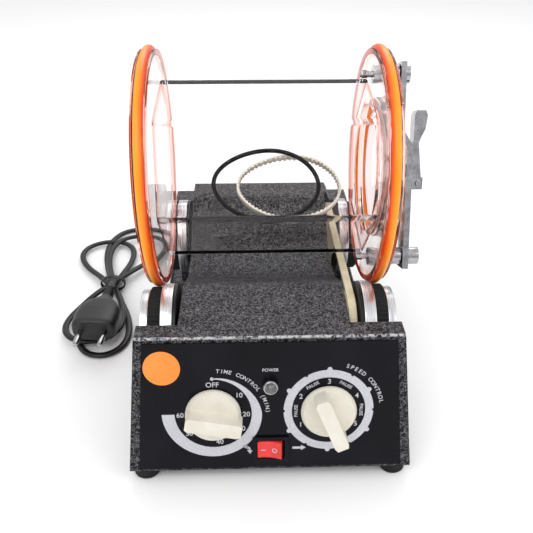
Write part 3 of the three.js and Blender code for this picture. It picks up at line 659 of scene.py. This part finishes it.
def roller(name):
    """One powered shaft: steel shaft, two turned wheels with ribbed tyres, guards and end nuts."""
    low, high = box_mm(name + "_shaft")
    middle = (low + high) / 2
    shaft_radius = (high[1] - low[1]) / 2
    end = (high[0] - low[0]) / 2
    bar = [(0, -end), (shaft_radius, -end), (shaft_radius, end), (0, end)]
    shaft = turned(name + "_axle", bar, middle, ACROSS, 48, 0.6)
    add_piece(name + "_axle", shaft, "steel", name, [name + "_shaft"])
    # (radius, distance out from the drum's middle): a tall flange, the tyre's seat, a cap with a dished hub
    wheel = [(4.3, 59.8), (29.6, 59.8), (29.6, 67.3), (22, 67.3), (22, 75.3), (26, 75.3), (26, 80.5),
             (12, 80.5), (11, 79.6), (4.3, 79.6)]
    tyre = [(22.3, 67.6), (27.5, 67.6), (27.5, 75), (22.3, 75)]
    guard = [(4.3, 56.8), (25, 56.8), (29.4, 57.6), (29.4, 59.5), (4.3, 59.5)]
    for side, label in ((-1, "_left"), (1, "_right")):
        outwards = side * ACROSS
        body = name + label
        disc = turned(body + "_wheel", soften(wheel, 0.5), middle, outwards, 128)
        add_piece(body + "_wheel_turned", disc, "aluminium", name, [body + "_wheel"], 50)
        add_piece(body + "_tyre_ribbed", turned(body + "_tyre", soften(tyre, 0.8), middle, outwards, 448,
                  ripple=tyre_ribs), "rubber", name, [body + "_tyre"], 60)
        add_piece(body + "_guard_disc", turned(body + "_guard", soften(guard, 0.3), middle, outwards, 96),
                  "gloss_black", name, [body + "_guard"])
        washer = [(0, 79.6), (8.2, 79.6), (8.2, 80.4), (0, 80.4)]
        nut = [(0, 80.2), (5.4, 80.2), (5.4, 82.2), (4.8, 82.8), (0, 82.8)]
        flat_ring = turned(body + "_washer", washer, middle, outwards, 48, 0.15)
        add_piece(body + "_washer", flat_ring, "zinc", name)
        add_piece(body + "_nut", turned(body + "_nut", nut, middle, outwards, 6), "zinc", name, sharp_deg=20)
    low, high = box_mm(name + "_link_pulley")
    radius, near, far = (high[1] - low[1]) / 2, low[0] - middle[0], high[0] - middle[0]
    pulley = [(4.3, near), (radius, near), (radius, far), (4.3, far)]
    pulley = turned(name + "_link_wheel", pulley, middle, ACROSS, 96, 0.4)
    add_piece(name + "_link_wheel", pulley, "link", name, [name + "_link_pulley"])


def link_belt():
    """The cream belt between the rollers: links 7 mm long that lap over each other round two pulleys."""
    low, high = box_mm("link_belt")
    middle = (low + high) / 2
    radius = (high[2] - low[2]) / 2
    half_run = (high[1] - low[1]) / 2 - radius
    thick, wide = 1.9, high[0] - low[0]
    run = np.linspace(0, 4 * half_run + 2 * np.pi * radius, 700, endpoint=False)
    straight, bend = 2 * half_run, np.pi * radius
    part = np.searchsorted(np.cumsum([straight, bend, straight]), run, side="right")
    gone = run - np.array([0, straight, straight + bend, 2 * straight + bend])[part]
    turn = np.where(part % 2 == 1, gone / radius, 0) + np.where(part >= 2, np.pi, 0)
    sense = np.where(part >= 2, -1.0, 1.0)
    slide = np.where(part % 2 == 0, gone - half_run, half_run) * sense
    out = np.stack([np.zeros_like(run), np.sin(turn), np.cos(turn)], -1)
    centre = middle + np.stack([np.zeros_like(run), slide, np.zeros_like(run)], -1)
    lap = 0.45 * (run % 7) / 7  # each link rises towards its end and drops to the next
    outer, inner = radius - 0.45 + lap, radius - thick
    ends = [(-wide / 2, inner), (wide / 2, inner), (wide / 2, outer), (-wide / 2, outer)]
    rings = np.stack([centre + x * ACROSS + np.broadcast_to(r, run.shape)[:, None] * out for x, r in ends], 1)
    add_piece("linked_belt", loft("linked_belt", rings, closed=True), "link", "base", ["link_belt"])


# ---- drum
def direction_of(node):
    """Angle of a node's middle round the drum's axis, from +Y towards +Z."""
    low, high = box_mm(node)
    place = (low + high) / 2 - DRUM
    return math.atan2(place[2], place[1]), math.hypot(place[1], place[2])


POST_ANGLE = direction_of("upper_post")[0]
TUBE_CORNER = 58.0  # from the axis to the six sharp corners, before they are rounded
CORNER_ROUNDING = 6.0
WALL = 4.2
BORE_CORNER = 52  # about where the rounded inner corners lie
GROOVE = (68.8, 75.6)  # the two sides of each plate's groove, from the drum's middle


def hexagon(corner, rounding, steps=10):
    """A six-sided outline in Y and Z whose corners are arcs of the given radius."""
    inset = rounding / math.cos(math.pi / 6)
    corners = POST_ANGLE + np.arange(6) * math.pi / 3
    sweep = np.linspace(-math.pi / 6, math.pi / 6, steps + 1)
    a = (corners[:, None] + sweep).ravel()
    c = np.repeat(corners, steps + 1)
    r = corner - inset
    return np.stack([r * np.cos(c) + rounding * np.cos(a), r * np.sin(c) + rounding * np.sin(a)], -1)


def drum():
    """The clear tube between its two round end plates, the rubber rings and the posts of the clamp."""
    low, high = box_mm("barrel_tube")
    end = (high[0] - low[0]) / 2
    outer = hexagon(TUBE_CORNER, CORNER_ROUNDING)
    inner = hexagon(TUBE_CORNER - WALL / math.cos(math.pi / 6), 1.0)
    edge = 0.5
    outer_end, inner_end = outer * (1 - edge / TUBE_CORNER), inner * (1 + edge / BORE_CORNER)
    section = [(outer, -end + edge), (outer, end - edge), (outer_end, end), (inner_end, end),
               (inner, end - edge), (inner, -end + edge), (inner_end, -end), (outer_end, -end)]
    rings = np.stack([np.column_stack([np.full(len(line), x), line]) for line, x in section], 1) + DRUM
    add_piece("clear_barrel", loft("clear_barrel", rings, closed=True), "acrylic", "drum", ["barrel_tube"])

    low, high = box_mm("right_end_plate")
    near, far, radius = low[0] - DRUM[0], high[0] - DRUM[0], (high[1] - low[1]) / 2
    groove = RING_OUTSIDE - 2 * RING_SECTION - 0.3
    rim = [(radius, near), (radius, GROOVE[0]), (groove, GROOVE[0]), (groove, GROOVE[1]), (radius, GROOVE[1]),
           (radius, far)]
    for side, label, hole in ((-1, "left", 0), (1, "right", 40)):
        profile = soften([(hole, near), *rim, (hole, far)], 0.6) if hole else np.array(
            [(0, near), *soften(rim, 0.6, closed=False), (0, far)])
        plate = turned(label + "_clear_plate", profile, DRUM, side * ACROSS, 192)
        add_piece(label + "_clear_plate", plate, "acrylic_plate", "drum", [label + "_end_plate"])
        a = np.linspace(0, 2 * np.pi, 28, endpoint=False)
        circle = np.stack([RING_OUTSIDE - RING_SECTION + RING_SECTION * np.cos(a),
                           RING_X + RING_SECTION * np.sin(a)], -1)
        ring = turned(label + "_rubber_ring", circle, DRUM, side * ACROSS, 192)
        add_piece(label + "_rubber_ring", ring, "orange", "drum", [label + "_ring"])

    posts = (("upper_post", (87.9, 92), 3, 95), ("lower_post", (93.7, 98.3), 4, 106))
    for node, neck, neck_radius, head in posts:
        angle, offset = direction_of(node)
        place = DRUM + offset * np.array([0, math.cos(angle), math.sin(angle)])
        profile = [(0, 77.1), (6, 77.1), (6, neck[0]), (neck_radius, neck[0]), (neck_radius, neck[1]),
                   (6, neck[1]), (6, head), (3, head), (2.6, head - 1.6), (0, head - 1.6)]
        post = turned(node + "_turned", profile, place, ACROSS, 64, 0.5)
        add_piece(node + "_turned", post, "chrome", "drum", [node])
        shank = [(0, 62.6), (1.9, 62.6), (1.9, 77.3), (0, 77.3)]
        add_piece(node + "_screw", turned(node + "_screw", shank, place, ACROSS, 24, 0.2), "steel", "drum")
        nut = [(0, 63.6), (2.5, 63.6), (2.6, 64), (2.6, 67.2), (0, 67.2)]
        add_piece(node + "_nut", turned(node + "_nut", nut, place, ACROSS, 6), "chrome", "drum", sharp_deg=20)


def lid():
    """The clear lid with its spigot and its pressure pad, and the rubber ring it closes on."""
    pad = box_mm("lid")[1][0] - DRUM[0]
    cover = [(0, 74), (38, 74), (38, 79), (46, 79), (46, 81.5), (7, 81.5), (5.6, 82.4), (0, 82.4)]
    cover = [cover[0], *soften(cover[1:-1], 0.7, closed=False), cover[-1]]
    add_piece("clear_lid", turned("clear_lid", cover, DRUM, ACROSS, 160), "acrylic_lid", "lid", ["lid"])
    button = [(0, 82.2), (5, 82.2), (5, pad - 1), (4, pad), (0, pad)]
    add_piece("lid_pad", turned("lid_pad", button, DRUM, ACROSS, 48, 0.5), "chrome", "lid")
    a = np.linspace(0, 2 * np.pi, 20, endpoint=False)
    ring = np.stack([42.8 + 2.2 * np.cos(a), 78 + 0.7 * np.sin(a)], -1)
    add_piece("lid_seal", turned("lid_seal", ring, DRUM, ACROSS, 128), "seal", "lid", ["lid_gasket"])


def clamp():
    """The bar that holds the lid, its pin and the over-centre lever."""
    refined("clamp_bar", "clamp_bar_plated", "chrome", "clamp_bar", 0.7, 3)
    refined("clamp_pin", "clamp_pin_ground", "steel", "clamp_bar", 0.3, 2)
    refined("clamp_lever", "clamp_lever_plated", "chrome", "clamp_lever", 0.6, 3)


LOOP_TILT = math.radians(42.6)  # the spare belts lean back on the drum's rear wall


def loose_loop(name, node, half_width, half_height, section, material, steps, teeth=0):
    """A belt lying in a tilted plane: an oval a little fuller on one side, carrying its section round."""
    low, high = box_mm(node)
    middle = (low + high) / 2
    rise = np.array([0, math.cos(LOOP_TILT), math.sin(LOOP_TILT)])
    normal = np.array([0, -math.sin(LOOP_TILT), math.cos(LOOP_TILT)])
    t = np.linspace(0, 2 * np.pi, steps, endpoint=False)
    x = half_width * np.cos(t) + 0.7 * np.cos(3 * t + 1)
    y = half_height * np.sin(t) + 0.7 * np.sin(2 * t)
    outward = np.stack([np.gradient(y), -np.gradient(x)], -1)
    outward /= np.linalg.norm(outward, axis=1)[:, None]
    offset = np.broadcast_to(np.array(section)[:, 0], (steps, len(section))).copy()
    if teeth:
        offset[:, offset[0] < 0] -= np.clip(1.2 * np.sin(teeth * t), -0.4, 0.4)[:, None]
    u = x[:, None] + offset * outward[:, :1]
    v = y[:, None] + offset * outward[:, 1:]
    w = np.broadcast_to(np.array(section)[:, 1], offset.shape)
    rings = middle + u[..., None] * ACROSS + v[..., None] * rise + w[..., None] * normal
    add_piece(name, loft(name, rings, closed=True), material, "drum", [node], 50)


def spare_belts():
    """The two spare belts: a round black one, and a white one with teeth on its inside."""
    a = np.linspace(0, 2 * np.pi, 14, endpoint=False)
    circle = np.stack([1.55 * np.cos(a), 1.55 * np.sin(a)], -1)
    loose_loop("round_belt", "spare_round_belt", 37.1, 26.6, circle, "rubber", 160)
    band = soften([(-0.7, -3), (0.9, -3), (0.9, 3), (-0.7, 3)], 0.2, 2)
    loose_loop("toothed_belt", "spare_toothed_belt", 36.4, 23.9, band, "white_belt", 640, 62)


# ---- controls
def in_plane(angle_deg):
    """Directions to the right and up for something turned clockwise on the panel."""
    a = math.radians(angle_deg)
    return math.cos(a) * ACROSS - math.sin(a) * UP_PANEL, math.sin(a) * ACROSS + math.cos(a) * UP_PANEL


def lettering(name, text, place, right, up, size_mm, material="print", body="base", thick_mm=INK):
    """Flat printed characters, centred on a place and raised by the thickness of the ink."""
    curve = bpy.data.curves.new(name, "FONT")
    curve.body, curve.size, curve.extrude = text, size_mm * 1.35, thick_mm / 2
    curve.align_x, curve.align_y, curve.resolution_u = "CENTER", "CENTER", 4
    curve.offset = 0.015 * size_mm
    holder = bpy.data.objects.new(name, curve)
    bpy.context.scene.collection.objects.link(holder)
    bpy.context.view_layer.update()
    mesh = bpy.data.meshes.new_from_object(holder.evaluated_get(bpy.context.evaluated_depsgraph_get()))
    bpy.data.objects.remove(holder)
    flat = np.empty(len(mesh.vertices) * 3)
    mesh.vertices.foreach_get("co", flat)
    flat = flat.reshape(-1, 3)
    out = np.cross(right, up)
    points = (place + flat[:, :1] * right + flat[:, 1:2] * up + (flat[:, 2:] + thick_mm / 2) * out) * MM
    mesh.vertices.foreach_set("co", points.ravel())
    mesh.materials.clear()
    return add_piece(name, mesh, material, body, sharp_deg=20)


def around(centre, radius, angle_deg, out=PANEL_FACE):
    """A place on the panel at a clockwise angle from the top of a dial."""
    a = math.radians(angle_deg)
    return on_panel(centre[0] + radius * math.sin(a), centre[1] + radius * math.cos(a), out)


def curved_words(name, text, centre, start_radius, end_radius, start_deg, end_deg, size_mm):
    """Characters set one by one round a dial, on a spiral between two radii."""
    angles = np.linspace(start_deg, end_deg, len(text))
    radii = np.linspace(start_radius, end_radius, len(text))
    for number, (letter, angle, radius) in enumerate(zip(text, angles, radii)):
        if letter != " ":
            right, up = in_plane(angle)
            lettering(f"{name}_{number}", letter, around(centre, radius, angle), right, up, size_mm)


def printed_band(name, centre, start_deg, end_deg, inner, outer, steps=240):
    """A band of ink round a dial, from inner(angle) to outer(angle), angles clockwise from the top."""
    angle = np.linspace(start_deg, end_deg, steps)
    a = np.radians(angle)
    direction = np.sin(a)[:, None] * ACROSS + np.cos(a)[:, None] * UP_PANEL
    foot = on_panel(centre[0], centre[1], PANEL_FACE)
    edges = ((inner(angle), 0), (outer(angle), 0), (outer(angle), INK), (inner(angle), INK))
    rings = np.stack([foot + np.asarray(r)[:, None] * direction + h * OUT_PANEL for r, h in edges], 1)
    closed = abs(end_deg - start_deg) >= 360
    return add_piece(name, loft(name, rings[:-1] if closed else rings, closed), "print", "base", sharp_deg=20)


def printed_shape(name, outline):
    """A flat patch of ink from an outline of (x, s) points."""
    outline = np.asarray(outline, float)
    rings = np.stack([on_panel(outline[:, 0], outline[:, 1], PANEL_FACE + h) for h in (0, INK)])
    return add_piece(name, loft(name, rings), "print", "base", sharp_deg=20)


def timer_scale():
    """OFF and the minutes round the timer, in a band that widens with the time set."""
    centre = TIMER
    printed_band("timer_band", centre, 0, 270, lambda a: np.full_like(a, 23.5),
                 lambda a: np.interp(a, [0, 45, 90, 180, 270], [24.1, 26.3, 29.7, 30.2, 31.3]))
    turn = np.linspace(0, 2 * np.pi, 20, endpoint=False)
    dot = np.stack([centre[0] + 1.1 * np.cos(turn), centre[1] + 23.8 + 1.1 * np.sin(turn)], -1)
    printed_shape("timer_dot", dot)
    right, up = in_plane(0)
    lettering("timer_off", "OFF", around(centre, 19.7, 0), right, up, 3.4)
    for minutes, angle in ((10, 52), (20, 92), (30, 122), (40, 170), (50, 228), (60, 268)):
        lettering(f"timer_{minutes}", str(minutes), around(centre, 20.2, angle), right, up, 3.4)
    curved_words("timer_word", "TIME CONTROL (MIN)", centre, 29.0, 33.4, 7, 88, 2.6)


def speed_scale():
    """Five speeds with a pause between each two, in a ring with a bump or a notch at each."""
    centre = SPEED
    bumps, notches = np.arange(0, 360, 60), np.arange(30, 360, 60)

    def outer(angle):
        def near(places, width):
            gap = np.abs((angle[:, None] - places + 180) % 360 - 180)
            return np.sqrt(np.clip(1 - (gap / width) ** 2, 0, 1)).max(1)
        return 27.5 + 1.9 * near(bumps, 3.2) - 0.9 * near(notches, 1.9)

    printed_band("speed_band", centre, 0, 360, lambda a: np.full_like(a, 22.5), outer, 721)
    right, up = in_plane(0)
    for number, angle in enumerate((240, 300, 0, 60, 120), 1):
        lettering(f"speed_{number}", str(number), around(centre, 19.6, angle), right, up, 3.4)
    for number, angle in enumerate((-90, -30, 30, 90)):
        right, up = in_plane(angle)
        lettering(f"pause_{number}", "PAUSE", around(centre, 19.9, angle), right, up, 2.2)
    curved_words("speed_word", "SPEED CONTROL", centre, 31.6, 32.4, 20, 80, 2.7)


def arrows():
    """The rocker's two arrows: one straight to the right, one stepped with a head at each end."""
    x, s = 17.8, ROCKER_S
    printed_shape("arrow_straight", [
        (x - 4.2, s - 0.8), (x + 1.2, s - 0.8), (x + 1.2, s - 1.9), (x + 4.2, s), (x + 1.2, s + 1.9),
        (x + 1.2, s + 0.8), (x - 4.2, s + 0.8),
    ])
    x = -14.4
    printed_shape("arrow_stepped", [
        (x - 3.6, s + 2.4), (x - 1.6, s + 0.6), (x - 1.2, s + 1.6), (x + 1.7, s + 0.8), (x + 2.0, s - 1.2),
        (x + 3.2, s - 1.4), (x + 1.6, s - 3.8), (x - 0.4, s - 1.0), (x + 0.9, s - 1.1), (x + 0.7, s - 0.1),
        (x - 1.4, s + 0.7), (x - 1.8, s + 3.2),
    ])


def panel():
    """The glossy label plate with its printing and the round orange sticker."""
    refined("control_panel", "label_plate", "panel", "base", 0.25, 2)
    timer_scale()
    speed_scale()
    arrows()
    right, up = in_plane(0)
    lettering("power_word", "POWER", on_panel(0, 70, PANEL_FACE), right, up, 2.1)
    radius = 11
    disc = [(0, 0), (radius, 0), (radius, 0.3), (0, 0.35)]
    disc = turned("round_sticker", disc, on_panel(-64.4, 72.3), OUT_PANEL, 96)
    add_piece("round_sticker", disc, "sticker", "base")


def knob(node, name):
    """The knob as moulded, with softened edges."""
    refined(node, name, "cream", node, 0.9, 4)


def rocker_and_lamp():
    """The red rocker in its frame, with its marks, and the clear lamp in a bright bezel."""
    refined("rocker_housing", "rocker_frame", "panel", "base", 0.5, 3)
    refined("rocker_button", "rocker_red", "red", "rocker_button", 0.8, 3)
    # the button's face is a shallow V tilted down to the left; its marks lie just proud of it
    for name, text, x, face, slope in (("mark_on", "I", -3.8, 3.95, -9), ("mark_off", "O", 3.1, 3.9, 7)):
        tilt, a = math.radians(ROCKER_TILT), math.radians(slope + ROCKER_TILT)
        place = on_panel(x * math.cos(tilt) - face * math.sin(tilt), ROCKER_S,
                         x * math.sin(tilt) + face * math.cos(tilt) + 0.1)
        right = math.cos(a) * ACROSS + math.sin(a) * OUT_PANEL
        turned_right, turned_up = (UP_PANEL, -right) if text == "I" else (right, UP_PANEL)
        lettering(name, text, place, turned_right, turned_up, 3.2, "print", "rocker_button", 0.2)
    base = on_panel(0, LAMP_S, PANEL_FACE + 0.1)
    rim = [(3.4, 0), (4.6, 0), (4.6, 4.6), (4.1, 5.4), (3.4, 5.4)]
    add_piece("lamp_bezel", turned("lamp_bezel", soften(rim, 0.25), base, OUT_PANEL, 64), "chrome", "base")
    t = np.linspace(0, math.pi / 2, 12)
    cap = np.stack([3.3 * np.cos(t), 5.2 + 2.4 * np.sin(t)], -1)[:-1].tolist()
    dome = [(0, 0.2), (3.2, 0.2), *cap, (0, 7.6)]
    add_piece("lamp_dome", turned("lamp_dome", dome, base, OUT_PANEL, 48), "lens", "base", ["power_lamp"])
    filament = [(0, 0.4), (1.0, 0.4), (1.0, 3.4), (0.5, 4.2), (0, 4.2)]
    add_piece("lamp_core", turned("lamp_core", filament, base, OUT_PANEL, 24, 0.1), "steel", "base")


def hidden_works():
    """The pieces inside the housing keep their solids and take their own finishes."""
    finishes = {
        "steel": ("motor_body", "bearing_front_left", "bearing_front_right", "bearing_rear_left",
                  "bearing_rear_right"),
        "black_abs": ("motor_pulley", "rear_roller_drive_pulley", "timer_module", "speed_switch"),
        "zinc": ("motor_bracket",), "rubber": ("drive_belt",), "board": ("control_board",),
    }
    for finish, nodes in finishes.items():
        for node in nodes:
            for slot in frame["nodes"][node].material_slots:
                slot.material = M[finish]


stage()
mains_lead()
housing()
roller("front_roller")
roller("rear_roller")
link_belt()
drum()
lid()
clamp()
spare_belts()
panel()
knob("timer_knob", "timer_grip")
knob("speed_knob", "speed_grip")
rocker_and_lamp()
hidden_works()
